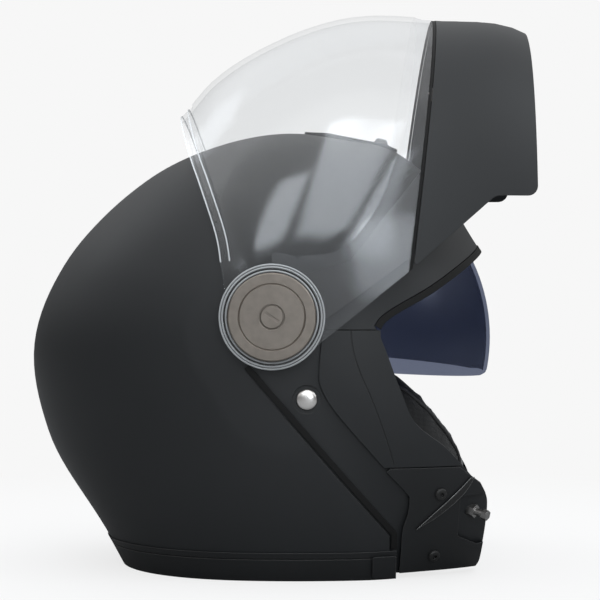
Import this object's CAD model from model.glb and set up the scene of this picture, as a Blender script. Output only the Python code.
"""Studio picture of a flip-up motorcycle helmet.

The shell is satin black, the chin bar and its clear visor are raised, and the smoked sun visor is lowered.
Outlines are side views in millimetres about the hinge line, with X forward and Z up. Y runs to the left.
"""
import math

import bmesh
import bpy
import numpy as np
from mathutils import Matrix, Quaternion, Vector
from mathutils.bvhtree import BVHTree


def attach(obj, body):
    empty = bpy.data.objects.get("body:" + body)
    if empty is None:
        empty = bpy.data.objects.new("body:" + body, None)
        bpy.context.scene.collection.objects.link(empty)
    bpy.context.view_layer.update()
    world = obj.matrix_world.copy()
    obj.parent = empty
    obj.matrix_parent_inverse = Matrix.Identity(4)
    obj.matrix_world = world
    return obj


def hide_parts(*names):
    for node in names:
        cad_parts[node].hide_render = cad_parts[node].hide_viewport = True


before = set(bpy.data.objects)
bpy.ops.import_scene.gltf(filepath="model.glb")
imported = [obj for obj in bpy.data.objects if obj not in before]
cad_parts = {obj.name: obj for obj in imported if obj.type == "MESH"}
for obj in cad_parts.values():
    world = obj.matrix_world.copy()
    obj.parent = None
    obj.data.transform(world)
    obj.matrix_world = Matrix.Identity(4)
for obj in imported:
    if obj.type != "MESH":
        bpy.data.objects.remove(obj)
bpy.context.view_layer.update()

# Outer shell: the hard cap of the helmet, moulded in one piece and lacquered satin black. It is swept round
# the hinge line across the ears. Its front strip lies lower, so that the chin bar closes flush over it, and
# the other pieces are clipped, screwed or riveted to it.
scene = bpy.context.scene
MM = 0.001
FAR, SEAT_GAP = 300, 0.3
EDGE_RADIUS, RUB_GAIN = 0.5 * MM, 5
HINGE = Vector((-2.7, 0, 155)) * MM
FORM_POWER, FORM_SEGMENTS, FORM_RINGS = 2.3, 144, 72
SHELL_HALF_WIDTH, SHELL_SIDE_FLAT = 121, 117.2
SHELL_WALL, SHELL_RECESS, SHELL_FOOT = 5, 2.5, 142
SHELL_PROFILE = (
    (0, 146), (16.6, 133), (24, 129.5), (54, 123.5), (66, 115.6), (78.5, 111.7), (108, 107.9), (134, 112.9),
    (151, 120.7), (168, 133.6), (188, 150.3), (207.6, 158.3), (233, 171.6), (262, 226), (288, 236),
    (300, 216), (318, 207), (331, 187), (345, 166),
)
GROOVE_TOP, GROOVE_FOOT = (-16.7, -30.5), (68.1, -128.7)
SEAL_WIDTH = 4.6
STEP_CORNER, STEP_FOOT = (22, 10), (29.5, -7.6)
STRIP_REAR, STRIP_OVERLAP = -31.7, 15
BROW_EDGE = [(131, 39.5), (120, 31), (95, 14), (73, 1.8), (65.2, -3.6), (62.6, -7.5)]
BROW_RISE, BROW_TRIM_WIDTH = 8, 4
JAW_EDGE = [(62.3, -12.3), (66.2, -21.9), (73.2, -40.8), (82.8, -62), (101.2, -77.2), (116.8, -94.6)]
JAW_OVERRUN = 4
HORN_FRONT = [
    (122.3, -98.9), (126.2, -107), (127, -114), (126.2, -127), (125, -138), (123.6, -148), (121.5, -152),
]
HORN_FOOT = 152
STUD_PLACE, STUD_SEAT_RADIUS, STUD_SEAT_DEPTH = (19.9, -47.7), 8.3, 0.8


def smooth_radius(profile):
    """Radius against angle, in millimetres, as a closed smooth curve through the profile's points."""
    knots = [(math.radians(angle + lap), radius) for lap in (-360, 0, 360) for angle, radius in profile]
    first = math.radians(profile[0][0])
    round_off = 1e-9

    def radius_at(angle):
        angle = first + (angle - first) % (2 * math.pi)
        index = max(place for place, knot in enumerate(knots) if knot[0] <= angle + round_off)
        (a, before), (b, start), (c, end), (d, after) = knots[index - 1:index + 3]
        span = c - b
        t = (angle - b) / span
        blend = t * t * (3 - 2 * t)
        lead = t * (1 - t) * (1 - t) * span * (end - before) / (c - a)
        trail = -t * t * (1 - t) * span * (after - start) / (d - b)
        return start + (end - start) * blend + lead + trail

    return radius_at


def placed(data, name="working"):
    """A new object in the scene, made of a mesh, a curve, a lamp or a camera."""
    body = bpy.data.objects.new(name, data)
    scene.collection.objects.link(body)
    return body


def body_from(bm, name="working"):
    bmesh.ops.recalc_face_normals(bm, faces=bm.faces)
    mesh = bpy.data.meshes.new(name)
    bm.to_mesh(mesh)
    bm.free()
    return placed(mesh, name)


ball = bmesh.new()
bmesh.ops.create_uvsphere(ball, u_segments=FORM_SEGMENTS, v_segments=FORM_RINGS, radius=1)
unit_ball = bpy.data.meshes.new("unit_ball")
ball.to_mesh(unit_ball)
ball.free()
unit_points = np.empty((len(unit_ball.vertices), 3), np.float32)
unit_ball.vertices.foreach_get("co", unit_points.ravel())
bearings = np.round(np.arctan2(unit_points[:, 1], unit_points[:, 0]), 5)
turns, turn_places = np.unique(bearings, return_inverse=True)
levels = np.clip(unit_points[:, 2], -1, 1)


def swept_form(radius_at, half_width, inset, centre=(0, 0)):
    """Closed body swept about a line across the helmet, its sections swelling as superellipses."""
    radii = np.array([radius_at(turn) for turn in turns]) - inset
    reach = radii[turn_places] * np.maximum(0, 1 - levels ** 2) ** (1 / FORM_POWER)
    across = -np.sign(levels) * np.abs(levels) ** (2 / FORM_POWER) * (half_width - inset)
    angles = turns[turn_places]
    forward, up = centre[0] + reach * np.cos(angles), centre[1] + reach * np.sin(angles)
    points = np.stack((forward, across, up), 1) * MM
    mesh = unit_ball.copy()
    mesh.vertices.foreach_set("co", points.astype(np.float32).ravel())
    mesh.update()
    return placed(mesh)


shell_radius = smooth_radius(SHELL_PROFILE)


def shell_form(inset):
    return swept_form(shell_radius, SHELL_HALF_WIDTH, inset)


def shell_side(place, inset):
    """Distance of the shell's surface from the middle plane at one point of the side view."""
    x, z = place
    reach = math.hypot(x, z) / (shell_radius(math.atan2(z, x)) - inset)
    return (SHELL_HALF_WIDTH - inset) * max(0, 1 - reach ** FORM_POWER) ** (1 / FORM_POWER)


def prism(outline, near=-FAR, far=FAR):
    """Side-view outline run straight across the helmet."""
    bm = bmesh.new()
    face = bm.faces.new([bm.verts.new((x * MM, near * MM, z * MM)) for x, z in outline])
    grown = bmesh.ops.extrude_face_region(bm, geom=[face])
    moved = [item for item in grown["geom"] if isinstance(item, bmesh.types.BMVert)]
    bmesh.ops.translate(bm, verts=moved, vec=(0, (far - near) * MM, 0))
    return body_from(bm)


def box(low, high):
    corners = ((low[0], low[2]), (high[0], low[2]), (high[0], high[2]), (low[0], high[2]))
    return prism(corners, low[1], high[1])


def block(low, high, half_width=FAR, rear=-FAR, front=FAR):
    """Everything between two heights, as far as the sides, the rear and the front that are given."""
    return box((rear, -half_width, low), (front, half_width, high))


def applied(body):
    """Takes the result of the body's modifiers as its own mesh."""
    graph = bpy.context.evaluated_depsgraph_get()
    mesh = bpy.data.meshes.new_from_object(body.evaluated_get(graph))
    body.modifiers.clear()
    body.data = mesh
    return body


def combine(body, tool, operation):
    modifier = body.modifiers.new("combine", "BOOLEAN")
    modifier.operation = operation
    modifier.solver = "MANIFOLD"
    modifier.object = tool
    applied(body)
    bpy.data.objects.remove(tool, do_unlink=True)
    return body


def cut(body, tool):
    return combine(body, tool, "DIFFERENCE")


def keep(body, tool):
    return combine(body, tool, "INTERSECT")


def join(body, tool):
    return combine(body, tool, "UNION")


def shifted(line, distance):
    """A polyline moved sideways by a distance, to the left of its direction."""
    sharpest = 0.2
    normals = []
    for start, end in zip(line, line[1:]):
        run = Vector(end) - Vector(start)
        normals.append(Vector((-run.y, run.x)).normalized())
    moved = []
    for index, point in enumerate(line):
        before = normals[max(0, index - 1)]
        after = normals[min(len(normals) - 1, index)]
        mitre = before + after
        mitre *= distance / max(sharpest, mitre.dot(after))
        moved.append((point[0] + mitre.x, point[1] + mitre.y))
    return moved


def flowing(points, steps=6):
    """A smooth line through the points of an open outline."""
    ends = [points[0]] + list(points) + [points[-1]]
    line = []
    for near in zip(ends, ends[1:], ends[2:], ends[3:]):
        for step in range(steps):
            t = step / steps
            weights = (
                -t + 2 * t * t - t ** 3, 2 - 5 * t * t + 3 * t ** 3,
                t + 4 * t * t - 3 * t ** 3, t ** 3 - t * t)
            line.append(tuple(sum(w * p[k] for w, p in zip(weights, near)) / 2 for k in (0, 1)))
    return line + [tuple(points[-1])]


def rod(radius, length, segments):
    """Round or many-sided bar about the origin, up the Z axis."""
    bm = bmesh.new()
    bmesh.ops.create_cone(
        bm, cap_ends=True, segments=segments, radius1=radius * MM, radius2=radius * MM, depth=length * MM)
    return bm


def turned(radius, start, end, place=(0, 0), segments=64):
    """Round bar straight across the helmet."""
    bm = rod(radius, abs(end - start), segments)
    bmesh.ops.rotate(bm, verts=bm.verts, matrix=Matrix.Rotation(math.radians(90), 3, "X"))
    bmesh.ops.translate(bm, verts=bm.verts, vec=Vector((place[0], (start + end) / 2, place[1])) * MM)
    return body_from(bm)


class Socket:
    """An output of a node, which takes part in sums written in Python."""

    def __init__(self, graph, output):
        self.graph = graph
        self.output = output

    def sum_of(self, operation, first, second):
        return self.graph.node("Math", {0: first, 1: second}, operation=operation)

    def __add__(self, other):
        return self.sum_of("ADD", self, other)

    def __rsub__(self, other):
        return self.sum_of("SUBTRACT", other, self)

    def __mul__(self, other):
        return self.sum_of("MULTIPLY", self, other)

    def at_most(self, limit):
        return self.sum_of("MINIMUM", self, limit)

    __radd__ = __add__
    __rmul__ = __mul__


class Graph:
    """A tree of shader nodes, each made and linked in one call."""

    def __init__(self, tree):
        self.tree = tree

    def node(self, kind, inputs=(), output=0, **settings):
        made = self.tree.nodes.new("ShaderNode" + kind)
        for key, value in settings.items():
            setattr(made, key, value)
        for key, value in dict(inputs).items():
            self.feed(made.inputs[key], value)
        return Socket(self, made.outputs[output])

    def feed(self, socket, value):
        if isinstance(value, Socket):
            self.tree.links.new(value.output, socket)
        else:
            socket.default_value = value

    def blend(self, share, first, second):
        """Ends the graph in a mix of two shaders."""
        end = next(node for node in self.tree.nodes if node.type.startswith("OUTPUT"))
        self.feed(end.inputs[0], self.node("MixShader", {0: share, 1: first, 2: second}))


class Finish(Graph):
    """A material on one Principled shader, with its patterns on the piece's own coordinates."""

    def __init__(self, name, **sockets):
        self.material = bpy.data.materials.new(name)
        self.material.use_nodes = True
        super().__init__(self.material.node_tree)
        self.shader = self.tree.nodes["Principled BSDF"]
        self.surface = Socket(self, self.shader.outputs[0])
        self.place = self.node("TexCoord", output="Object")
        self.set(**sockets)

    def set(self, **sockets):
        for key, value in sockets.items():
            self.feed(self.shader.inputs[key.replace("_", " ")], value)

    def noise(self, scale, detail):
        return self.node("TexNoise", {"Vector": self.place, "Scale": scale, "Detail": detail})

    def mix(self, share, first, second):
        return self.node("MixRGB", {"Fac": share, "Color1": first, "Color2": second})

    def softened(self, radius):
        """Normal that turns smoothly over edges, as if they were rounded by a small radius."""
        return self.node("Bevel", {"Radius": radius}, samples=4)

    def rubbed(self, radius):
        """Share of rubbing: 1 along sharp edges and 0 on the faces between them."""
        plain = self.node("NewGeometry", output="Normal")
        turn = self.node("VectorMath", {0: self.softened(radius), 1: plain}, "Value", operation="DOT_PRODUCT")
        return ((1 - turn) * RUB_GAIN).at_most(1)

    def relief(self, height, distance, strength, edge=EDGE_RADIUS):
        """Bumps from a height field, over softened edges."""
        rounded_edge = self.softened(edge)
        bumps = {"Height": height, "Distance": distance, "Strength": strength, "Normal": rounded_edge}
        self.set(Normal=self.node("Bump", bumps))


def grained(name, scale, detail, tones, roughness, rubbed_tone=None, **sockets):
    """A finish whose tone and roughness vary with one noise, and whose sharp edges may be rubbed."""
    finish = Finish(name, **sockets)
    finish.grain = finish.noise(scale, detail)
    tone = finish.mix(finish.grain, *tones)
    if rubbed_tone:
        tone = finish.mix(finish.rubbed(EDGE_RADIUS), tone, rubbed_tone)
    least, spread = roughness
    finish.set(Base_Color=tone, Roughness=least + spread * finish.grain)
    return finish


def grey(value, warmth=0.0):
    return (value * (1 + warmth), value, value * (1 - warmth), 1)


def show(body, name, finish, rides, slot, *nodes, sharp=30):
    """Gives a piece its shading, its material, the body that it rides on and the nodes that it stands for."""
    body.name = name
    body.data.name = name
    body.data.materials.clear()
    body.data.materials.append(finish.material)
    body.data.shade_smooth()
    body.data.set_sharp_from_angle(angle=math.radians(sharp))
    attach(body, rides)
    if nodes:
        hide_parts(*nodes)
    return body


def on_shell(body):
    """Moves a piece drawn about the hinge line to its place on the helmet."""
    body.data.transform(Matrix.Translation(HINGE))
    return body


lacquer = grained(
    "satin_black_lacquer", 22, 3, (grey(0.0075, -0.15), grey(0.0095, -0.15)), (0.5, 0.08), grey(0.03),
    Specular_IOR_Level=0.5)
lacquer.relief(lacquer.noise(1400, 1), 0.00004, 0.6)
brow_line = flowing(BROW_EDGE)
jaw_line = flowing(JAW_EDGE)
jaw_end = JAW_EDGE[-1]
upright = GROOVE_FOOT[0] + SEAL_WIDTH
strip_top = STEP_CORNER[1] + STRIP_OVERLAP
rear_zone = [(-FAR, -SHELL_FOOT), (GROOVE_FOOT[0], -SHELL_FOOT), GROOVE_FOOT, GROOVE_TOP, STEP_CORNER]
rear_zone += [STEP_FOOT, (FAR, STEP_FOOT[1]), (FAR, FAR), (-FAR, FAR)]
front_zone = [(STRIP_REAR, strip_top), (STRIP_REAR, SEAT_GAP - SHELL_FOOT), (upright, -SHELL_FOOT)]
front_zone += [(upright, -HORN_FOOT)] + flowing(HORN_FRONT)[::-1]
front_zone += [jaw_end, (FAR, JAW_EDGE[3][1]), (FAR, strip_top)]
shell = keep(shell_form(0), prism(rear_zone))
shell = join(shell, keep(shell_form(SHELL_RECESS), prism(front_zone)))
shell = keep(shell, block(-FAR, FAR, SHELL_SIDE_FLAT))
inner_flat = SHELL_SIDE_FLAT - SHELL_WALL + SHELL_RECESS - SEAT_GAP
shell = cut(shell, keep(shell_form(SHELL_WALL), block(-FAR, FAR, inner_flat)))
brow_cut = shifted(brow_line, -BROW_TRIM_WIDTH - SEAT_GAP)
opening = [(FAR, brow_cut[0][1] + BROW_RISE)] + brow_cut + jaw_line
opening += [(jaw_end[0] + JAW_OVERRUN, jaw_end[1] - SEAT_GAP), (FAR, jaw_end[1] - SEAT_GAP)]
shell = cut(shell, prism(opening))
stud_floor = min(SHELL_SIDE_FLAT, shell_side(STUD_PLACE, SHELL_RECESS)) - STUD_SEAT_DEPTH
for side in (-1, 1):
    shell = cut(shell, turned(STUD_SEAT_RADIUS, side * stud_floor, side * FAR, STUD_PLACE))
show(on_shell(shell), "outer_shell_lacquered", lacquer, "helmet", "satin_black", "outer_shell")

# Base trim: a soft-touch plastic moulding clipped round the lower edge of the shell. The shell's rim stands
# in its channel, a fine parting line runs round it, and the helmet rests on its flat foot.
BASE_TRIM_TOP, BASE_LEVEL = 137.8, 155
BASE_TRIM_LIP, BASE_TRIM_INNER = 0.8, 9
SEAM_WIDTH, SEAM_DEPTH, SEAM_DROP = 0.7, 0.45, 3.4
OVERCUT = 1
moulding = grained(
    "black_moulding", 35, 3, (grey(0.006, -0.12), grey(0.0085, -0.12)), (0.46, 0.12), grey(0.06),
    Specular_IOR_Level=0.45)
moulding.relief(moulding.noise(2600, 2), 0.00006, 0.7, 0.0006)


def wall(form, outer, inner, within=None):
    """The layer of a form between two depths, or as much of it as lies within another body."""
    layer = cut(form(outer), form(inner))
    return keep(layer, within) if within else layer


room = block(-BASE_LEVEL, -BASE_TRIM_TOP, front=upright - SEAT_GAP)
trim = wall(shell_form, -BASE_TRIM_LIP, BASE_TRIM_INNER, room)
channel = block(-SHELL_FOOT - SEAT_GAP, FAR)
trim = cut(trim, wall(shell_form, -SEAT_GAP, SHELL_WALL + SEAT_GAP, channel))
seam_top = -BASE_TRIM_TOP - SEAM_DROP
seam = block(seam_top - SEAM_WIDTH, seam_top)
trim = cut(trim, wall(shell_form, -BASE_TRIM_LIP - OVERCUT, -BASE_TRIM_LIP + SEAM_DEPTH, seam))
show(on_shell(trim), "base_trim_moulding", moulding, "helmet", "trim_plastic", "base_trim")

# Edge clips: square caps of the same black plastic, moulded with rounded corners. One is pressed over each
# end of the base trim, where the trim meets the horn.
CLIP_THICKNESS = 1.5
CLIP_CORNERS = ((58.3, -154, 1.6), (72.2, -154, 1.6), (72.2, -140.8, 1.2), (58.3, -140.8, 1.2))
SIDE_START = 20


def right_prism(outline):
    return prism(outline, -FAR, -SIDE_START)


def rounded(corners, steps=5):
    """A closed outline from (x, z, radius) corners, with an arc at each corner that has a radius."""
    line = []
    for index, (x, z, radius) in enumerate(corners):
        here = Vector((x, z))
        back = (Vector(corners[index - 1][:2]) - here).normalized()
        ahead = (Vector(corners[(index + 1) % len(corners)][:2]) - here).normalized()
        if radius == 0:
            line.append((x, z))
            continue
        half = back.angle(ahead) / 2
        run = radius / math.tan(half)
        centre = here + (back + ahead).normalized() * radius / math.sin(half)
        start, end = here + back * run - centre, here + ahead * run - centre
        sweep = start.angle_signed(end)
        for step in range(steps + 1):
            turn = Matrix.Rotation(-sweep * step / steps, 2)
            line.append(tuple(centre + turn @ start))
    return line


def mirrored(body):
    """A copy of a right-hand piece for the left-hand side."""
    left = placed(body.data.copy())
    left.data.transform(Matrix.Diagonal((1, -1, 1, 1)))
    left.data.flip_normals()
    return left


def both_sides(body, name, finish, rides, slot, stands_for=None, seat=on_shell):
    """Shows a right-hand piece and its mirror image."""
    for side, half in (("right", body), ("left", mirrored(body))):
        nodes = [stands_for + "_" + side] if stands_for else []
        show(seat(half), name + "_" + side, finish, rides, slot, *nodes)


clip_face = -BASE_TRIM_LIP - SEAT_GAP
clip = wall(shell_form, clip_face - CLIP_THICKNESS, clip_face, right_prism(rounded(CLIP_CORNERS)))
both_sides(clip, "edge_clip_cap", moulding, "helmet", "trim_plastic", "edge_clip")

# Brow trim: an extruded edging of black rubber, pressed on the rim of the shell above the face opening and
# lapping over both of its faces.
BROW_TRIM_LIP = 0.6
rubber = grained("black_rubber", 60, 4, (grey(0.004), grey(0.007)), (0.6, 0.15), Specular_IOR_Level=0.25)
rubber.relief(rubber.noise(1800, 2), 0.00005, 0.5)
brow_top = shifted(brow_line, -BROW_TRIM_WIDTH)
band = [(FAR, brow_line[0][1] + BROW_RISE)] + brow_line
band += brow_top[::-1] + [(FAR, brow_top[0][1] + BROW_RISE)]
brow = wall(shell_form, -BROW_TRIM_LIP, SHELL_WALL + BROW_TRIM_LIP, prism(band))
show(on_shell(brow), "brow_edge_rubber", rubber, "helmet", "rubber", "brow_trim")

# Face trims: thin plastic panels, lacquered like the shell, that finish it beside the face opening. They are
# stuck in the lowered strip, and a crease is moulded down their length.
TRIM_REAR = [(29, -8), (27, -32), (28.7, -42), (37.3, -56), (61.5, -84.2)]
TRIM_THICKNESS, TRIM_HEEL, TRIM_TOE = 1.9, 64.5, 0.4
CREASE = [(44.9, -6), (44.9, -9.3), (46.1, -19.2), (50.1, -32.5), (57, -48), (64.8, -69.3), (70, -86)]
CREASE_WIDTH, CREASE_DEPTH = 0.7, 0.35
COVER_TOP = -88.4
panel_seat = SHELL_RECESS - SEAT_GAP
panel_face = panel_seat - TRIM_THICKNESS
panel_foot = COVER_TOP + 2 * SEAT_GAP
jaw_upper = [point for point in jaw_line if point[1] > panel_foot]
outline = flowing(TRIM_REAR) + [(TRIM_HEEL, panel_foot), (jaw_upper[-1][0] + TRIM_TOE, panel_foot)]
outline += jaw_upper[::-1] + [(JAW_EDGE[0][0], TRIM_REAR[0][1])]
panel = wall(shell_form, panel_face, panel_seat, right_prism(outline))
crease = flowing(CREASE)
groove = right_prism(crease + shifted(crease, CREASE_WIDTH)[::-1])
panel = cut(panel, wall(shell_form, panel_face - OVERCUT, panel_face + CREASE_DEPTH, groove))
both_sides(panel, "face_trim_panel", lacquer, "helmet", "trim_plastic", "face_trim")

# Groove seals: extruded rubber strips, stuck down in the step of the shell. The closed chin bar lands against
# them and is kept from rattling.
SEAL_HEIGHT, SEAL_GAP = 1.1, 1.1
seal_line = [GROOVE_TOP, GROOVE_FOOT, (GROOVE_FOOT[0], -BASE_TRIM_TOP + SEAL_GAP)]
strip = shifted(seal_line, SEAL_GAP) + shifted(seal_line, SEAL_WIDTH)[::-1]
seal = wall(shell_form, panel_seat - SEAL_HEIGHT, panel_seat, right_prism(strip))
both_sides(seal, "groove_seal_strip", rubber, "helmet", "rubber", "groove_seal")

# Latch covers: moulded plastic plates screwed on the horns of the shell, with a pocket for the latch pin.
# A blade-like rib stands on each, its edge rubbed bright where the chin bar passes.
COVER_REAR = [
    (74.4, -152), (75.2, -138.5), (75.9, -126), (78.9, -115.5), (79.7, -108), (78.2, -103.4), (66.2, -90.4),
]
COVER_CORNERS = [(68.2, COVER_TOP), (109, COVER_TOP), jaw_end]
COVER_THICKNESS = 2.2
COVER_SCREWS = ((98.2, -104.4), (95, -142.5))
POCKET = ((110, -106.5, 2), (108.9, -130.8, 2.5), (121, -136.8, 1.5), (140, -134, 0), (140, -104, 0))
RIB_FRONT = [(118.5, -95), (113.6, -103.2), (105.4, -111.2), (95.5, -118.8), (84, -125.4)]
RIB_REAR = [(115.8, -95.4), (109, -102.4), (100.4, -110.4), (84, -125.2)]
RIB_HEIGHT, RIB_ROOT = 1, 0.1
cover_face = panel_seat - COVER_THICKNESS
outline = flowing(COVER_REAR) + COVER_CORNERS + flowing(HORN_FRONT)
cover = wall(shell_form, cover_face, panel_seat, right_prism(outline))
cover = cut(cover, right_prism(rounded(POCKET)))
both_sides(cover, "latch_cover_plate", moulding, "helmet", "trim_plastic", "latch_cover")
worn = Finish("worn_moulding", Specular_IOR_Level=0.5)
scrape = worn.noise(120, 3)
bared = worn.rubbed(0.0009) * scrape
worn.set(Base_Color=worn.mix(bared, grey(0.008), grey(0.5)), Roughness=0.35 + 0.15 * scrape)
worn.relief(worn.noise(2600, 2), 0.00005, 0.6, 0.0006)
outline = flowing(RIB_FRONT) + flowing(RIB_REAR)[-2::-1]
rib = wall(shell_form, cover_face - RIB_HEIGHT, cover_face + RIB_ROOT, right_prism(outline))
both_sides(rib, "latch_cover_rib", worn, "helmet", "trim_plastic")

# Cover screws: low round heads of black nylon with a hexagon socket. Two hold each latch cover, standing
# square to its slope.
SCREW_RADIUS, SCREW_HEAD, SCREW_ROOT = 3.7, 1.5, 1.2
SCREW_DOME = ((1, 0.45), (0.93, 0.72), (0.8, 0.9), (0.55, 1))
SOCKET_RADIUS, SOCKET_FLOOR, SOCKET_END = 1.5, 0.2, 4
HEXAGON = 6
nylon = grained("black_nylon", 220, 3, (grey(0.006), grey(0.012)), (0.38, 0.2), Specular_IOR_Level=0.5)
nylon.relief(nylon.noise(2200, 2), 0.00004, 0.5)


def right_place(place, inset, direction):
    """Turn and shift that put a piece drawn up the Z axis on the right-hand side, along a direction."""
    turn = Vector(direction).to_track_quat("Z", "Y").to_matrix().to_4x4()
    return Matrix.Translation(Vector((place[0], -shell_side(place, inset), place[1])) * MM) @ turn


def right_outward(place, inset):
    """Direction square to the right-hand side at one point of the side view."""
    step = 0.5
    x, z = place
    face = shell_side(place, inset)
    ahead = shell_side((x + step, z), inset)
    above = shell_side((x, z + step), inset)
    return Vector(((face - ahead) / step, -1, (face - above) / step)).normalized()


def lathe(profile, steps):
    """Solid turned about the Z axis from (radius, height) points in millimetres."""
    bm = bmesh.new()
    points = [bm.verts.new((radius * MM, 0, height * MM)) for radius, height in profile]
    closed = all(radius > 0 for radius, height in profile)
    ends = points[1:] + points[:1] if closed else points[1:]
    edges = [bm.edges.new(pair) for pair in zip(points, ends)]
    bmesh.ops.spin(
        bm, geom=points + edges, cent=(0, 0, 0), axis=(0, 0, 1), angle=2 * math.pi, steps=steps,
        use_merge=True)
    bmesh.ops.remove_doubles(bm, verts=bm.verts, dist=1e-6)
    return body_from(bm)


def upright_bar(radius, start, end, segments):
    bm = rod(radius, end - start, segments)
    bmesh.ops.translate(bm, verts=bm.verts, vec=(0, 0, (start + end) / 2 * MM))
    return body_from(bm)


screw_seat = cover_face - SEAT_GAP
profile = [(0, -SCREW_ROOT), (SCREW_RADIUS, -SCREW_ROOT)]
profile += [(SCREW_RADIUS * out, SCREW_HEAD * up) for out, up in SCREW_DOME] + [(0, SCREW_HEAD)]
for name, spot in zip(("cover_screw_upper", "cover_screw_lower"), COVER_SCREWS):
    screw = cut(lathe(profile, 48), upright_bar(SOCKET_RADIUS, SOCKET_FLOOR, SOCKET_END, HEXAGON))
    screw.data.transform(right_place(spot, screw_seat, right_outward(spot, screw_seat)))
    both_sides(screw, name + "_head", nylon, "helmet", "black_nylon", name)

# Latch pins: turned steel pins with a hexagon collar and a hexagon head. One is screwed into each horn, and
# the hook of the closed chin bar reaches behind its head.
STRIKER_PLACE, STRIKER_DIRECTION, STRIKER_LENGTH = (117.5, -115.5), (0.8, -0.55, -0.24), 11
STRIKER_BASE, STRIKER_NECK, STRIKER_HEAD = 4.2, 2.2, 3.2
STRIKER_ROOT, STRIKER_COLLAR, STRIKER_GRIP = 2, 2.6, 3.4
dark_metal = grained("dark_steel", 300, 4, (grey(0.24, 0.02), grey(0.36, 0.02)), (0.26, 0.15), Metallic=1.0)
dark_metal.relief(dark_metal.noise(2600, 2), 0.00002, 0.4, 0.0003)
pin = upright_bar(STRIKER_BASE, -STRIKER_ROOT, STRIKER_COLLAR, HEXAGON)
pin = join(pin, upright_bar(STRIKER_NECK, 0, STRIKER_LENGTH - 1, 32))
pin = join(pin, upright_bar(STRIKER_HEAD, STRIKER_LENGTH - STRIKER_GRIP, STRIKER_LENGTH, HEXAGON))
pin.data.transform(right_place(STRIKER_PLACE, panel_seat, STRIKER_DIRECTION))
both_sides(pin, "latch_pin", dark_metal, "helmet", "gunmetal", "striker_pin")

# Side studs: polished steel domes, pressed from sheet and riveted in a round recess of the side strip, one
# on each side.
STUD_RADIUS, STUD_HEIGHT, STUD_RIM = 6, 2.7, 0.8
polish = grained("polished_steel", 180, 4, (grey(0.72, 0.03), grey(0.8, 0.03)), (0.26, 0.08), Metallic=1.0)
polish.relief(polish.noise(2400, 2), 0.00001, 0.3, 0.0002)
dome = [(0, 0), (STUD_RADIUS, 0)]
for turn in (0, 0.2, 0.4, 0.6, 0.8, 1, 1.2, 1.4):
    dome.append((STUD_RADIUS * math.cos(turn), STUD_RIM + (STUD_HEIGHT - STUD_RIM) * math.sin(turn)))
stud = lathe(dome + [(0, STUD_HEIGHT)], 64)
to_right = Matrix.Rotation(math.radians(90), 4, "X")
stud_seat = Vector((STUD_PLACE[0], -stud_floor - SEAT_GAP, STUD_PLACE[1])) * MM
stud.data.transform(Matrix.Translation(stud_seat) @ to_right)
both_sides(stud, "side_stud_dome", polish, "helmet", "polished_steel", "side_stud")

# Impact liner: expanded bead foam, steam-moulded to shape and pushed into the shell. Its beads show on the
# surface, and it is hollowed for the head and for the parked sun visor.
LINER_GAP, LINER_INNER, LINER_FOOT, LINER_FRONT, LINER_SETBACK = 1.1, 37, 129, 110, 9
SUN_AXIS, SUN_RADIUS, SUN_HALF_WIDTH, SUN_THICKNESS = (25.4, -15.75), 108.6, 106, 2.2
SUN_CHAMBER, CHAMBER_HEEL, CHAMBER_DROP, CHAMBER_LEAN = 3.6, 14, 0.8, 0.1
foam = Finish("bead_foam", Specular_IOR_Level=0.3)
beads = foam.node("TexVoronoi", {"Vector": foam.place, "Scale": 330.0}, "Distance")
foam.set(Base_Color=foam.mix(beads, grey(0.02), grey(0.011)), Roughness=0.72 + 0.2 * beads)
foam.relief(1 - beads, 0.0006, 0.6)


def sun_form(inset):
    return swept_form(lambda angle: SUN_RADIUS, SUN_HALF_WIDTH, inset, SUN_AXIS)


def face_space(setback):
    """All that lies ahead of the face opening's edge, moved back into the helmet by a setback."""
    edge = shifted(BROW_EDGE + JAW_EDGE, -setback)
    foot = [(edge[-1][0] + JAW_OVERRUN, -FAR), (FAR, -FAR)]
    return prism([(FAR, edge[0][1] + BROW_RISE)] + edge + foot)


liner_flat = SHELL_SIDE_FLAT - SHELL_WALL + SHELL_RECESS - LINER_GAP - SEAT_GAP
liner = keep(shell_form(SHELL_WALL + LINER_GAP), block(-LINER_FOOT, FAR, liner_flat))
liner = cut(liner, shell_form(LINER_INNER))
liner = cut(liner, face_space(LINER_SETBACK))
liner = cut(liner, block(-FAR, 0, rear=LINER_FRONT))
x, z = SUN_AXIS
chamber = [(x - CHAMBER_HEEL, z - CHAMBER_HEEL), (x + FAR, z - FAR * CHAMBER_DROP), (x + FAR, z + FAR)]
chamber += [(x - FAR * CHAMBER_LEAN, z + FAR), (x - CHAMBER_HEEL, z + CHAMBER_HEEL)]
liner = cut(liner, cut(prism(chamber), sun_form(SUN_THICKNESS + SUN_CHAMBER)))
show(on_shell(liner), "impact_liner_foam", foam, "helmet", "impact_foam", "impact_liner")

# Crown pad: brushed knit over soft foam, quilted in lengthwise channels and held in the top of the liner by
# poppers. Its skin is an even mesh, eased and then drawn in along the channels.
CROWN_PAD, CROWN_PAD_FOOT, CROWN_SETBACK = 8, -18, 14
CROWN_VOXEL, CROWN_EASING = 2.6, 3
CHANNELS, CHANNEL_WIDTH, CHANNEL_SINK, QUILT_RISE = (0, 27, 52), 3.5, 2.2, 0.5
SOFT_ANGLE = 80
knit = Finish("brushed_knit", Specular_IOR_Level=0.2, Sheen_Weight=0.35, Sheen_Roughness=0.5)


def stitches(direction):
    """Rows of loops across one direction of the knit."""
    loops = {"Vector": knit.place, "Scale": 420.0, "Distortion": 1.5, "Detail": 1.0}
    return knit.node("TexWave", loops, "Fac", wave_type="BANDS", bands_direction=direction)


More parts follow.
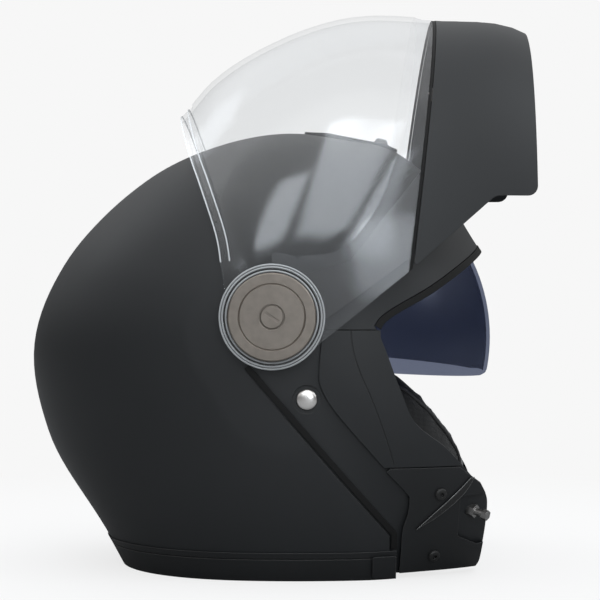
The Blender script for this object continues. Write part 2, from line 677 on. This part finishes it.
weave = stitches("X") * stitches("Z")
fuzz = knit.noise(900, 3)
knit.set(Base_Color=knit.mix(weave, grey(0.01), grey(0.024)), Roughness=0.85 + 0.1 * fuzz)
knit.relief(weave + fuzz * 0.5, 0.0004, 0.6, 0.001)


def remeshed(body, voxel):
    """The body as an even skin of small quads."""
    modifier = body.modifiers.new("even", "REMESH")
    modifier.mode = "VOXEL"
    modifier.voxel_size = voxel * MM
    return applied(body)


def eased(body, times):
    """Softens a skin by averaging each point with its neighbours."""
    bm = bmesh.new()
    bm.from_mesh(body.data)
    for step in range(times):
        bmesh.ops.smooth_vert(
            bm, verts=bm.verts, factor=0.5, use_axis_x=True, use_axis_y=True, use_axis_z=True)
    bm.to_mesh(body.data)
    bm.free()
    return body


def pushed(body, pushes):
    """Moves each point of a skin by its own push, in millimetres."""
    for vert, push in zip(body.data.vertices, pushes):
        vert.co += push * MM
    return body


def show_pad(pad, name, node):
    """Shows a soft piece of the lining, with its skin made finer."""
    finer = pad.modifiers.new("subdivide", "SUBSURF")
    finer.levels = finer.render_levels = 1
    show(on_shell(pad), name, knit, "helmet", "pad_cloth", node, sharp=SOFT_ANGLE)


pad_outer = LINER_INNER + LINER_GAP
pad = wall(shell_form, pad_outer, pad_outer + CROWN_PAD, block(CROWN_PAD_FOOT, FAR))
pad = cut(pad, face_space(CROWN_SETBACK))
pad = eased(remeshed(pad, CROWN_VOXEL), CROWN_EASING)
pushes = []
for vert in pad.data.vertices:
    across = abs(vert.co.y) / MM
    depth = sum(math.exp(-((across - line) / CHANNEL_WIDTH) ** 2) for line in CHANNELS)
    pushes.append(vert.normal * (1 - CHANNEL_SINK * min(1, depth)) * QUILT_RISE)
pushed(pad, pushes)
show_pad(pad, "crown_pad_quilted", "crown_pad")

# Cheek pads: shaped foam in a brushed knit cover with one sewn seam, and piping round the front edge. Each is
# a slack cover blown up as cloth, with its back pinned where poppers hold it on the liner.
CHEEK_OUTLINE = [
    (-34, -30), (-38, -116), (-26, -136), (92, -136), (112, -118), (119, -91), (110.5, -73.5), (98, -57),
    (77, -40), (62, -30),
]
CHEEK_DEPTH, CHEEK_SINK, CHEEK_SPREAD, CHEEK_SWELL = 21, 2, 0.4, 0.7
CHEEK_VOXEL, CHEEK_EASING, CHEEK_RISE = 4, 9, 0.8
CHEEK_PRESSURE, CHEEK_FRAMES, CHEEK_CAP, BACKING_DEPTH = 4, 20, 4, 4
CHEEK_SEAM, CHEEK_SEAM_SINK, CHEEK_SEAM_WIDTH = [(40, -140), (52, -118), (70, -98), (98, -84)], 2.2, 3
PIPING_RADIUS, PIPING_INSET, PIPING_BACK, PIPING_REACH, PIPING_EASING = 1.2, 3.5, 8, 30, 6
cheek_back = LINER_INNER + 1


def loop_point(loop, share):
    """Point at a share of the way round a closed outline."""
    spans = [(Vector(b) - Vector(a)).length for a, b in zip(loop, loop[1:] + loop[:1])]
    distance = share * sum(spans)
    for start, end, span in zip(loop, loop[1:] + loop[:1], spans):
        if distance <= span:
            return Vector(start).lerp(Vector(end), distance / span)
        distance -= span
    return Vector(loop[0])


def swollen(body, rise):
    """Moves a skin outward by the same distance all over."""
    return pushed(body, [vert.normal * rise for vert in body.data.vertices])


middle = Vector([sum(point[k] for point in CHEEK_OUTLINE) / len(CHEEK_OUTLINE) for k in (0, 1)])
bm = bmesh.new()
bmesh.ops.create_uvsphere(bm, u_segments=72, v_segments=24, radius=1)
for vert in bm.verts:
    share = math.atan2(vert.co.y, vert.co.x) / (2 * math.pi) % 1
    spread = max(0, 1 - vert.co.z ** 2) ** CHEEK_SPREAD
    spot = middle.lerp(loop_point(CHEEK_OUTLINE, share), spread)
    back = shell_side(spot, LINER_INNER - CHEEK_SINK)
    vert.co = Vector((spot.x, CHEEK_DEPTH * max(0, vert.co.z) ** CHEEK_SWELL - back, spot.y)) * MM
cheek = remeshed(keep(body_from(bm), shell_form(cheek_back)), CHEEK_VOXEL)
start_points = [vert.co.copy() for vert in cheek.data.vertices]
backing = cheek.vertex_groups.new(name="backing")
for vert in cheek.data.vertices:
    place = (vert.co.x / MM, vert.co.z / MM)
    if -vert.co.y / MM > shell_side(place, cheek_back) - BACKING_DEPTH:
        backing.add([vert.index], 1.0, "REPLACE")
cover_cloth = cheek.modifiers.new("cloth", "CLOTH")
cover_cloth.settings.use_pressure = True
cover_cloth.settings.uniform_pressure_force = CHEEK_PRESSURE
cover_cloth.settings.vertex_group_mass = "backing"
cover_cloth.settings.effector_weights.gravity = 0
for step in range(CHEEK_FRAMES):
    scene.frame_set(step + 1)
applied(cheek)
scene.frame_set(1)
for vert, start in zip(cheek.data.vertices, start_points):
    move = vert.co - start
    if move.length > CHEEK_CAP * MM:
        vert.co = start + move.normalized() * CHEEK_CAP * MM
swollen(eased(cheek, CHEEK_EASING), CHEEK_RISE)
seam_run = [Vector(point) for point in flowing(CHEEK_SEAM, 12)]
pushes = []
for vert in cheek.data.vertices:
    spot = Vector((vert.co.x, vert.co.z)) / MM
    near = min((spot - point).length for point in seam_run)
    sink = CHEEK_SEAM_SINK * math.exp(-(near / CHEEK_SEAM_WIDTH) ** 2) if vert.normal.y > 0 else 0
    pushes.append(Vector((0, -sink, 0)))
pushed(cheek, pushes)
piping_cloth = grained("piping_cord", 700, 2, (grey(0.012), grey(0.03)), (0.42, 0.2), Specular_IOR_Level=0.45)
piping_cloth.relief(piping_cloth.grain, 0.0003, 0.5)
cheek_faces = [face.vertices for face in cheek.data.polygons]
skin = BVHTree.FromPolygons([vert.co for vert in cheek.data.vertices], cheek_faces)
welt = []
for spot in flowing(CHEEK_OUTLINE[4:9], 10):
    inward = (middle - Vector(spot)).normalized()
    depth = PIPING_INSET - shell_side(Vector(spot) + inward * PIPING_BACK, LINER_INNER)
    start = Vector((spot[0] - inward.x * PIPING_REACH, depth, spot[1] - inward.y * PIPING_REACH)) * MM
    hit = skin.ray_cast(start, Vector((inward.x, 0, inward.y)))[0]
    if hit:
        welt.append(hit)
for step in range(PIPING_EASING):
    inner = [(a + 2 * b + c) / 4 for a, b, c in zip(welt, welt[1:], welt[2:])]
    welt = [welt[0]] + inner + [welt[-1]]
cord = bpy.data.curves.new("piping", "CURVE")
cord.dimensions = "3D"
cord.bevel_depth, cord.bevel_resolution, cord.use_fill_caps = PIPING_RADIUS * MM, 4, True
run = cord.splines.new("POLY")
run.points.add(len(welt) - 1)
for point, place in zip(run.points, welt):
    point.co = (*place, 1)
holder = placed(cord)
graph = bpy.context.evaluated_depsgraph_get()
edging = placed(bpy.data.meshes.new_from_object(holder.evaluated_get(graph)))
bpy.data.objects.remove(holder, do_unlink=True)
both_sides(edging, "cheek_pad_piping", piping_cloth, "helmet", "pad_cloth")
for side, body in (("right", cheek), ("left", mirrored(cheek))):
    show_pad(body, "cheek_pad_cover_" + side, "cheek_pad_" + side)

# Neck roll: a padded collar of foam in the same knit, round the rear of the neck opening. It is sewn to the
# inside of the base trim, and its skin is eased to a soft roll.
NECK_ROLL_TOP, NECK_ROLL_FOOT, NECK_ROLL_INNER, NECK_ROLL_FRONT = 130, 150, 34, 15
NECK_SLACK, NECK_VOXEL, NECK_EASING, NECK_RISE = 1, 2.4, 14, 1.6
room = block(-NECK_ROLL_FOOT, -NECK_ROLL_TOP, front=NECK_ROLL_FRONT)
roll = wall(shell_form, BASE_TRIM_INNER + NECK_SLACK, NECK_ROLL_INNER - NECK_SLACK, room)
roll = swollen(eased(remeshed(roll, NECK_VOXEL), NECK_EASING), NECK_RISE)
show_pad(roll, "neck_roll_cover", "neck_roll")

# Sun visor: a thin shield of smoked polycarbonate, moulded in one curve. It swings on its own pins inside the
# shell and is shown lowered over the eyes.
SUN_OUTLINE = [
    (60, -33), (125, -37.9), (129.5, -37), (132.3, -34.2), (133.6, -29), (150, -24), (150, 78), (112, 54),
]
SUN_EAR, SUN_PIN = 9, 3


def arc(radius, start, end, steps, centre=(0, 0)):
    """Points of an arc, between two angles in degrees."""
    turns = [math.radians(start + (end - start) * step / steps) for step in range(steps + 1)]
    return [(centre[0] + radius * math.cos(turn), centre[1] + radius * math.sin(turn)) for turn in turns]


def see_through(name, tint, gloss_colour, most, blur):
    """Clear plastic: light passes through tinted, and gloss grows towards grazing angles up to a limit."""
    finish = Finish(name, Base_Color=gloss_colour, Roughness=blur, Metallic=1.0)
    gloss = finish.node("Fresnel", {"IOR": 1.5}).at_most(most)
    clear = finish.node("BsdfTransparent", {"Color": tint})
    finish.blend(gloss, clear, finish.surface)
    return finish


smoke = see_through("smoked_polycarbonate", (0.36, 0.385, 0.46, 1), (0.45, 0.48, 0.55, 1), 0.06, 0.25)
outline = arc(SUN_EAR, 110, 262, 16, SUN_AXIS) + SUN_OUTLINE
sun_visor = wall(sun_form, 0, SUN_THICKNESS, prism(outline))
for side in (-1, 1):
    hole = turned(SUN_PIN + SEAT_GAP, side * SIDE_START, side * FAR, SUN_AXIS, 48)
    sun_visor = cut(sun_visor, hole)
show(on_shell(sun_visor), "sun_visor_lens", smoke, "sun_visor", "smoked_visor", "sun_visor")

# Sun visor pins: turned and polished steel, pressed into the liner through the ears of the sun visor. They
# stay as the solids model them.


def finish_nodes(name, finish):
    """Gives the left and right solids of a kind their finish."""
    for side in ("left", "right"):
        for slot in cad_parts[name + "_" + side].material_slots:
            slot.material = finish.material


finish_nodes("sun_visor_pin", polish)

# Slider on the crown: a ribbed grey plastic knob that runs in a shallow black track and works the sun visor.
# The track is moulded with two rails and ramped ends, and is stuck to the shell.
TRACK_FRONT, TRACK_REAR = Vector((76, 100.9)), Vector((19, 111.8))
TRACK_HALF_WIDTH, TRACK_RAMP, TRACK_SINK = 13, 14, 14
RAIL_WIDTH, RAIL_HEIGHT, LANE_OVERRUN = 3, 1, 4
KNOB_REAR, KNOB_LENGTH, KNOB_HEIGHT = 61.5, 9, 3.8
KNOB_SHAPE = ((0, 0), (1, 0), (0.9, 0.7), (0.75, 1), (0.25, 1), (0.1, 0.7))
SLOTS, SLOT_START, SLOT_PITCH, SLOT_WIDTH, SLOT_DEPTH = 4, 0.32, 0.12, 0.55, 0.7
along, above = (TRACK_FRONT - TRACK_REAR).normalized(), Vector((0, 1))
rail, sink = above * RAIL_HEIGHT, above * TRACK_SINK
corners = [TRACK_FRONT - sink, TRACK_FRONT - rail, TRACK_FRONT - along * TRACK_RAMP / 2 + rail]
corners += [TRACK_REAR + along * TRACK_RAMP + rail, TRACK_REAR - rail, TRACK_REAR - sink]
track = prism(corners, -TRACK_HALF_WIDTH, TRACK_HALF_WIDTH)
front, rear = TRACK_FRONT + along * LANE_OVERRUN, TRACK_REAR - along * LANE_OVERRUN
lane = [front, rear, rear + above * LANE_OVERRUN, front + above * LANE_OVERRUN]
lane_half = TRACK_HALF_WIDTH - RAIL_WIDTH
track = cut(cut(track, prism(lane, -lane_half, lane_half)), shell_form(-SEAT_GAP))
show(on_shell(track), "slider_track_rails", moulding, "helmet", "trim_plastic", "slider_track")
grip = grained("grey_grip", 400, 3, (grey(0.11), grey(0.15)), (0.45, 0.15), Specular_IOR_Level=0.45)
grip.relief(grip.noise(2200, 2), 0.00005, 0.5, 0.0004)
square = Vector((-along.y, along.x))
share = (TRACK_FRONT.x - KNOB_REAR) / (TRACK_FRONT.x - TRACK_REAR.x)
foot = TRACK_FRONT.lerp(TRACK_REAR, share) + square * SEAT_GAP
half = lane_half - SEAT_GAP
shape = [foot + along * KNOB_LENGTH * forward + square * KNOB_HEIGHT * up for forward, up in KNOB_SHAPE]
knob = prism(shape, -half, half)
for place in range(SLOTS):
    spot = foot + along * KNOB_LENGTH * (SLOT_START + SLOT_PITCH * place) + square * KNOB_HEIGHT
    end = spot + along * SLOT_WIDTH
    slot = [spot - square * SLOT_DEPTH, end - square * SLOT_DEPTH, end + square, spot + square]
    knob = cut(knob, prism(slot, -half - OVERCUT, half + OVERCUT))
show(on_shell(knob), "slider_knob_grip", grip, "slider_knob", "grey_knob", "slider_knob")

# Chin bar: the lower face guard, moulded in plastic and lacquered like the shell. It is drawn closed and
# turned up with its parts about the hinge line, on which its arms are held.
MASK_HALF_WIDTH = 126.5
MASK_PROFILE = (
    (-90, 240), (-72, 240), (-55, 238), (-41, 230.5), (-29, 205.5), (-15, 187), (0, 165), (15, 146),
    (25.4, 132.5), (45, 128), (70, 128), (100, 131), (135, 142), (180, 165), (225, 205),
)
CHIN_WALL, CHIN_FOOT, CHIN_REAR_GAP, CHIN_REAR = 2.5, 154.4, 0.9, 69.6
CHIN_TIP, CHIN_CORNER, CHIN_FILLET = 1.5, 6, 9
EYEPORT_SIDE, EYEPORT_FRONT, EYEPORT_SEAL = (24.1, -79.2), (178.6, -97.9), 1.6
LEDGE_LOW, LEDGE_HIGH, LEDGE_HALF_WIDTH, LEDGE_FLOOR = -109.7, -103, 26, 178.8
VENT_TOP, VENT_FOOT, VENT_HALF_WIDTH, VENT_REAR = 113, 129, 20, 150
RAISED = Matrix.Translation(HINGE) @ Matrix.Rotation(math.radians(-90), 4, "Y")
mask_radius = smooth_radius(MASK_PROFILE)


def mask_form(inset):
    return swept_form(mask_radius, MASK_HALF_WIDTH, inset)


def raised(body):
    """Turns a piece of the closed chin bar or visor up to its place in the picture."""
    body.data.transform(RAISED)
    return body


def meet(first, second):
    """Crossing of two straight lines, each given by two points."""
    start, run = Vector(first[0]), Vector(first[1]) - Vector(first[0])
    other, reach = Vector(second[0]), Vector(second[1]) - Vector(second[0])
    return tuple(start + run * ((other - start).cross(reach) / run.cross(reach)))


def upright_at(x):
    return [(x, -FAR), (x, FAR)]


def eyeport(shift):
    """Lower edge of the eye opening, moved up by shift and run on past the front."""
    line = shifted([EYEPORT_SIDE, EYEPORT_FRONT], shift)
    return [line[0], meet(line, upright_at(FAR))]


chin_rear = shifted([GROOVE_TOP, GROOVE_FOOT], CHIN_REAR_GAP)
top = eyeport(-EYEPORT_SEAL / 2 - SEAT_GAP)
knee = meet(chin_rear, upright_at(CHIN_REAR))
corners = [(*meet(top, chin_rear), CHIN_TIP), (*top[1], 0), (FAR, -CHIN_FOOT, 0)]
corners += [(CHIN_REAR, -CHIN_FOOT, CHIN_CORNER), (*knee, CHIN_FILLET)]
chin = wall(mask_form, 0, CHIN_WALL, prism(rounded(corners, 8)))
chin = cut(chin, block(-VENT_FOOT, -VENT_TOP, VENT_HALF_WIDTH, VENT_REAR))
chin = cut(chin, block(LEDGE_LOW, LEDGE_HIGH, LEDGE_HALF_WIDTH, LEDGE_FLOOR))
show(raised(chin), "chin_bar_lacquered", lacquer, "chin_bar", "satin_black", "chin_bar_shell")

# Chin vent: a grille of black plastic, moulded with three slots and snapped into the front of the chin bar,
# a little below its surface.
VENT_FRAME, VENT_SINK, VENT_BACK = 3, 0.5, 1
VENT_SLOTS, VENT_OPEN, VENT_LEAD, VENT_CORNER = 3, 0.45, 0.5, 1.2
SIDE_TO_FRONT = Matrix(((0, 1, 0, 0), (1, 0, 0, 0), (0, 0, 1, 0), (0, 0, 0, 1)))
half = VENT_HALF_WIDTH - SEAT_GAP
room = block(SEAT_GAP - VENT_FOOT, -VENT_TOP - SEAT_GAP, half, VENT_REAR)
vent = wall(mask_form, VENT_SINK, CHIN_WALL + VENT_BACK, room)
pitch = (VENT_FOOT - VENT_TOP) / (VENT_SLOTS + VENT_LEAD)
reach = half - VENT_FRAME
for place in range(VENT_SLOTS):
    head = -VENT_TOP - pitch * (place + VENT_LEAD)
    foot = head - pitch * VENT_OPEN
    gap = [(x, z, VENT_CORNER) for x, z in ((-reach, foot), (reach, foot), (reach, head), (-reach, head))]
    slot = prism(rounded(gap), VENT_REAR, FAR)
    slot.data.transform(SIDE_TO_FRONT)
    slot.data.flip_normals()
    vent = cut(vent, slot)
show(raised(vent), "chin_vent_grille", moulding, "chin_bar", "trim_plastic", "chin_vent")

# Eyeport seal: an extruded rubber strip, pressed on the upper edge of the chin bar, on which the clear visor
# closes.
upper, lower = eyeport(EYEPORT_SEAL / 2), eyeport(-EYEPORT_SEAL / 2)
band = [meet(upper, chin_rear), upper[1], lower[1], meet(lower, chin_rear)]
seal = wall(mask_form, SEAT_GAP, CHIN_WALL, prism(band))
show(raised(seal), "eyeport_seal_strip", rubber, "chin_bar", "rubber", "eyeport_seal")

# Chin liner: a block of moulded bead foam, pushed into the front of the chin bar behind the vent. A well is
# left in it for the release button.
CHIN_LINER, CHIN_LINER_FOOT, CHIN_LINER_DROP = 13, 150, 8
BUTTON_LOW, BUTTON_HIGH, BUTTON_TRAVEL = Vector((155, -14, -154)), Vector((164, 14, -146)), 3.5
skin = CHIN_WALL + VENT_BACK + SEAT_GAP
top = eyeport(-CHIN_LINER_DROP)
outline = [meet(top, upright_at(VENT_REAR)), top[1], (FAR, -CHIN_LINER_FOOT), (VENT_REAR, -CHIN_LINER_FOOT)]
chin_liner = wall(mask_form, skin, skin + CHIN_LINER, prism(outline))
room = Vector((2 * SEAT_GAP, 2 * SEAT_GAP, 0))
well_foot = BUTTON_LOW - room - Vector((0, 0, FAR))
well_top = BUTTON_HIGH + room + Vector((0, 0, BUTTON_TRAVEL + SEAT_GAP))
chin_liner = cut(chin_liner, box(well_foot, well_top))
show(raised(chin_liner), "chin_liner_foam", foam, "chin_bar", "impact_foam", "chin_liner")

# Release button: a moulded plastic key under the front of the chin bar, ribbed for the thumb. It is sprung,
# and pressing it frees both latch hooks.
BUTTON_SIDE_LINES, LINE_PITCH, LINE_HALF_WIDTH, LINE_DEPTH = 4, 2.6, 0.5, 0.6
button = box(BUTTON_LOW, BUTTON_HIGH)
for place in range(-BUTTON_SIDE_LINES, BUTTON_SIDE_LINES + 1):
    across = place * LINE_PITCH
    line_foot = (BUTTON_LOW.x - OVERCUT, across - LINE_HALF_WIDTH, BUTTON_LOW.z - OVERCUT)
    line_top = (FAR, across + LINE_HALF_WIDTH, BUTTON_LOW.z + LINE_DEPTH)
    button = cut(button, box(line_foot, line_top))
show(raised(button), "release_button_key", moulding, "release_button", "trim_plastic", "release_button")

# Chin bar arms: stamped steel blades, coated black, which are riveted inside the chin bar and carry it on the
# hinge hubs.
ARM_THICKNESS, ARM_RING, HUB_RADIUS = 2, 20, 12
ARM_OUTLINE = [(64, -120), (78, -146), (104, -146), (104, -102), (32, -44)]
skin = CHIN_WALL + SEAT_GAP
outline = arc(ARM_RING, -10, 225, 40) + ARM_OUTLINE
arm = wall(mask_form, skin, skin + ARM_THICKNESS, right_prism(outline))
arm = cut(arm, turned(HUB_RADIUS + SEAT_GAP, -FAR, -SIDE_START))
both_sides(arm, "chin_bar_blade", nylon, "chin_bar", "polished_steel", "chin_bar_arm", seat=raised)

# Latch hooks: claws of polished steel plate, which turn inside the chin bar and reach for the latch pins.
# They stay as the solids model them.
finish_nodes("latch_hook", polish)

# Pivot bases: moulded hubs of black nylon, riveted to the shell, on which the arms and the visor turn. They
# stay as the solids model them.
finish_nodes("pivot_base", nylon)

# Clear visor: optical polycarbonate in one moulding with the ridged rings that turn on the hubs. A thicker
# flange runs along its free edge, and the part before the eyes stands proud by small steps. The flange below
# is satin, and cut edges and ridges catch the light.
VISOR_THICKNESS, RING_RADIUS, RING_RISE, RING_LAP = 2, 30.4, 0.4, 1.5
RING_RIDGE, RING_VALLEY, RING_CORE, DISC_RADIUS = 0.6, 0.6, 2, 25.3
RIDGE_PLACES = RING_RADIUS - RING_RIDGE, RING_RADIUS - 3.4 * RING_RIDGE, DISC_RADIUS + RING_RIDGE + SEAT_GAP
RIDGE_REACH, RIDGE_LIFT = 0.1, 0.2
VISOR_EDGE = [(140, 63.5), (98.2, 50.7), (74.8, 42), (47.4, 32.6), (31, 29.6)]
FLANGE_WIDTH, FLANGE_RISE, FLANGE_ROOT = 6, 0.7, 0.8
BEAD_WIDTH, BEAD_RISE, BEAD_GAP = 0.8, 0.35, 0.01
ZONE_FOOT = [(31.5, -16), (33.5, -36.2), (44, -51.3), (63.6, -64.6), (88.2, -74.2), (116, -81.9), (178, -90)]
ZONE_LEDGES, ZONE_GAP, ZONE_ROOT = ((0, 0.5), (2.2, 0.9), (3.6, 1.3)), 3, 0.5
GLOSS_TONE = (0.97, 0.98, 1.0, 1)
clear = see_through("clear_polycarbonate", (0.984, 0.988, 0.99, 1), GLOSS_TONE, 0.11, 0.12)
edge_glow = Finish("cut_polycarbonate", Base_Color=(0.85, 0.88, 0.9, 1), Roughness=0.12, Alpha=0.38)
flange_clear = see_through("satin_polycarbonate", (0.97, 0.975, 0.98, 1), GLOSS_TONE, 0.13, 0.42)


def inside(outline, spot):
    """Whether a point of the side view lies within a closed outline."""
    crossings = 0
    for (x1, z1), (x2, z2) in zip(outline, outline[1:] + outline[:1]):
        if (z1 > spot[1]) != (z2 > spot[1]) and spot[0] < x1 + (spot[1] - z1) * (x2 - x1) / (z2 - z1):
            crossings += 1
    return crossings % 2 == 1


visor_edge = flowing(VISOR_EDGE)
lower = eyeport(EYEPORT_SEAL / 2 + SEAT_GAP)
ring_arc = arc(RING_RADIUS - RING_LAP, 66, 218, 24)
outline = [(FAR, VISOR_EDGE[0][1])] + visor_edge + ring_arc + [meet(lower, chin_rear), lower[1]]
visor = wall(mask_form, 0, VISOR_THICKNESS, prism(outline))
flange_line = shifted(visor_edge, FLANGE_WIDTH)
flange = [(FAR, VISOR_EDGE[0][1])] + visor_edge + flange_line[::-1] + [(FAR, flange_line[0][1])]
visor = join(visor, wall(mask_form, -FLANGE_RISE, FLANGE_ROOT, prism(flange)))
zone_top = shifted(visor_edge, FLANGE_WIDTH + ZONE_GAP)
for setback, rise in ZONE_LEDGES:
    foot = shifted(flowing(ZONE_FOOT), setback)
    zone = [(FAR, zone_top[0][1])] + zone_top + arc(RING_RADIUS + ZONE_GAP + setback, 42, -24, 10)
    zone += foot + [(FAR, foot[-1][1])]
    visor = join(visor, wall(mask_form, -rise, ZONE_ROOT, prism(zone)))
ring = MASK_HALF_WIDTH + RING_RISE
bore = HUB_RADIUS + SEAT_GAP
foot, valley, core = MASK_HALF_WIDTH - VISOR_THICKNESS - RING_RISE, ring - RING_VALLEY, bore - RING_CORE
section = [(core, foot), (RING_RADIUS, foot), (RING_RADIUS, valley)]
for ridge in RIDGE_PLACES:
    section += arc(RING_RIDGE, 0, 180, 8, (ridge, valley))
section += [(core, valley)]
for side in (-1, 1):
    hub_ring = lathe(section, 128)
    hub_ring.data.transform(Matrix.Rotation(math.radians(-90 * side), 4, "X"))
    visor = join(visor, hub_ring)
    visor = cut(visor, turned(bore, side * SIDE_START, side * FAR))
bright, satin = [], []
for polygon in visor.data.polygons:
    spot = Vector((polygon.center.x, polygon.center.z)) / MM
    lifted = abs(polygon.center.y) > (valley + RIDGE_LIFT) * MM
    outward = polygon.normal.dot(polygon.center) > 0
    if lifted and DISC_RADIUS < spot.length < RING_RADIUS + RIDGE_REACH:
        bright.append(polygon.index)
    elif outward and spot.length > RING_RADIUS and spot.y < 0 and not inside(zone, spot):
        satin.append(polygon.index)
show(raised(visor), "clear_visor_lens", clear, "visor", "clear_visor", "clear_visor", sharp=25)
for place, (finish, faces) in enumerate(((edge_glow, bright), (flange_clear, satin)), 1):
    visor.data.materials.append(finish.material)
    for index in faces:
        visor.data.polygons[index].material_index = place
for name, start in (("outer", 0), ("inner", FLANGE_WIDTH - BEAD_WIDTH)):
    strip = shifted(visor_edge, start) + shifted(visor_edge, start + BEAD_WIDTH)[::-1]
    bead = wall(mask_form, -FLANGE_RISE - BEAD_RISE, -FLANGE_RISE - BEAD_GAP, prism(strip))
    show(raised(bead), "visor_bead_" + name, edge_glow, "visor", "clear_visor")

# Pivot covers: round caps turned from metal with one fine line, and finished in gunmetal. One is clamped over
# each ring of the visor.
DISC_THICKNESS, DISC_CHAMFER, DISC_SHOULDER = 2.6, 0.7, (0.2, 0.35)
DISC_GROOVE, DISC_GROOVE_SIZE = 18.9, 0.5
COIN_RADIUS, COIN_GAP, COIN_HEAD, COIN_SHANK = 6.5, 0.9, 1.5, 3
gunmetal = grained("gunmetal", 260, 5, (grey(0.2, 0.12), grey(0.27, 0.12)), (0.34, 0.14), Metallic=1.0)
gunmetal.relief(gunmetal.noise(3000, 2), 0.00003, 0.4, 0.0003)
disc = ring + SEAT_GAP
face = disc + DISC_THICKNESS
bore = COIN_SHANK + SEAT_GAP
seat_face = face - COIN_HEAD - SEAT_GAP
profile = [(bore, disc), (DISC_RADIUS, disc), (DISC_RADIUS, face - DISC_CHAMFER)]
profile += [(DISC_RADIUS - DISC_SHOULDER[0], face - DISC_SHOULDER[1]), (DISC_RADIUS - DISC_CHAMFER, face)]
profile += [(DISC_GROOVE + DISC_GROOVE_SIZE, face), (DISC_GROOVE, face - DISC_GROOVE_SIZE)]
profile += [(DISC_GROOVE - DISC_GROOVE_SIZE, face), (COIN_RADIUS + COIN_GAP, face)]
profile += [(COIN_RADIUS + COIN_GAP, seat_face), (bore, seat_face)]
cap = lathe(profile, 160)
cap.data.transform(to_right)
both_sides(cap, "pivot_cover_cap", gunmetal, "helmet", "gunmetal", "pivot_cover")

# Coin screws: turned metal screws with a wide slot that a coin can turn, in the same gunmetal finish. Each
# goes through a pivot cover into the hub and clamps the stack.
COIN_DEPTH, COIN_CHAMFER = 6, 0.3
COIN_SLOT, COIN_SLOT_LENGTH, COIN_TURN = 1.6, 9.1, math.radians(35)
neck = face - COIN_HEAD
profile = [(0, neck - COIN_DEPTH), (COIN_SHANK, neck - COIN_DEPTH), (COIN_SHANK, neck), (COIN_RADIUS, neck)]
profile += [(COIN_RADIUS, face - COIN_CHAMFER), (COIN_RADIUS - COIN_CHAMFER, face), (0, face)]
coin = lathe(profile, 64)
coin.data.transform(to_right)
slot_low = (-COIN_SLOT_LENGTH / 2, -face - COIN_HEAD, -COIN_SLOT / 2)
slot_high = (COIN_SLOT_LENGTH / 2, -face + COIN_HEAD / 2, COIN_SLOT / 2)
slot = box(slot_low, slot_high)
slot.data.transform(Matrix.Rotation(COIN_TURN, 4, "Y"))
both_sides(cut(coin, slot), "coin_screw_head", gunmetal, "helmet", "gunmetal", "coin_screw")

# Studio: a pale paper floor and backdrop, with plain soft boxes overhead, in front, behind and on the near
# side. The camera stands on the wearer's right, a little above the ears.
FLOOR_SIZE = 6
PAPER_TONE = grey(0.93)
LAMP_TINT, LAMP_AIM = (0.9, 0.95, 1), Vector((0, 0, 0.2))
floor_mesh = bmesh.new()
bmesh.ops.create_grid(floor_mesh, x_segments=1, y_segments=1, size=FLOOR_SIZE)
floor = body_from(floor_mesh, "floor")
paper = Finish("pale_floor", Roughness=0.9)
reach = paper.node("VectorMath", {0: paper.place}, "Value", operation="LENGTH")


def ramp(graph, value, start, end, low, high):
    """Straight ramp from low at the start to high at the end of a value's range."""
    span = {"From Min": start, "From Max": end, "To Min": low, "To Max": high}
    return graph.node("MapRange", {"Value": value, **span})


seen = paper.node("LightPath", output="Is Camera Ray")
paper.set(Base_Color=paper.mix(seen, grey(0.18), grey(0.6)))
glow = paper.node("Emission", {"Color": PAPER_TONE})
paper.blend(seen * ramp(paper, reach, 0.12, 0.55, 0.82, 1.0), paper.surface, glow)
floor.data.materials.append(paper.material)

world = bpy.data.worlds.new("studio")
world.use_nodes = True
scene.world = world
air = Graph(world.node_tree)
way = air.node("TexCoord", output="Generated")
height = air.node("SeparateXYZ", {0: way}, "Z")
sky = air.node("Background", {"Color": ramp(air, height, 0.1, 0.6, 0.08, 0.95)})
backdrop = air.node("Background", {"Color": PAPER_TONE})
air.blend(air.node("LightPath", output="Is Camera Ray"), sky, backdrop)


def soft_box(name, place, size, power, roll=0):
    """Rectangular lamp that faces the helmet, rolled about its own axis by an angle in degrees."""
    lamp = bpy.data.lights.new(name, "AREA")
    lamp.shape = "RECTANGLE"
    lamp.size, lamp.size_y = size
    lamp.energy = power
    lamp.color = LAMP_TINT
    holder = placed(lamp, name)
    holder.location = place
    aim = (LAMP_AIM - Vector(place)).to_track_quat("-Z", "Y")
    holder.rotation_euler = (aim @ Quaternion((0, 0, 1), math.radians(roll))).to_euler()
    return holder


soft_box("ceiling", (0.1, 0.2, 2.0), (3.2, 2.6), 80).visible_glossy = False
soft_box("near_strip", (0.08, -1.4, 1.1), (0.24, 1.2), 3.2)
soft_box("near_slant", (0.35, -1.4, 0.72), (0.2, 0.8), 2.2, -6)
soft_box("near_patch", (-0.24, -1.4, 0.82), (0.26, 0.55), 1.6)
soft_box("near_fill", (0.42, -1.4, 0.36), (0.34, 0.34), 1.6)
soft_box("front_box", (1.6, -0.5, 1.2), (0.6, 1.0), 6)
soft_box("rear_box", (-1.2, 0.5, 1.3), (0.7, 0.9), 1.4)

CAMERA_DISTANCE, CAMERA_RISE = 1.4, math.radians(1.4)
SENSOR_WIDTH, FOCAL_LENGTH = 36, 134.4
TARGET = Vector((13.3, 0, 161.6)) * MM
lens = bpy.data.cameras.new("camera")
lens.sensor_width, lens.lens = SENSOR_WIDTH, FOCAL_LENGTH
camera = placed(lens, "camera")
camera.location = TARGET + Vector((0, -math.cos(CAMERA_RISE), math.sin(CAMERA_RISE))) * CAMERA_DISTANCE
camera.rotation_euler = (TARGET - camera.location).to_track_quat("-Z", "Y").to_euler()
bpy.context.scene.camera = camera
bpy.context.scene.view_settings.view_transform = "Standard"
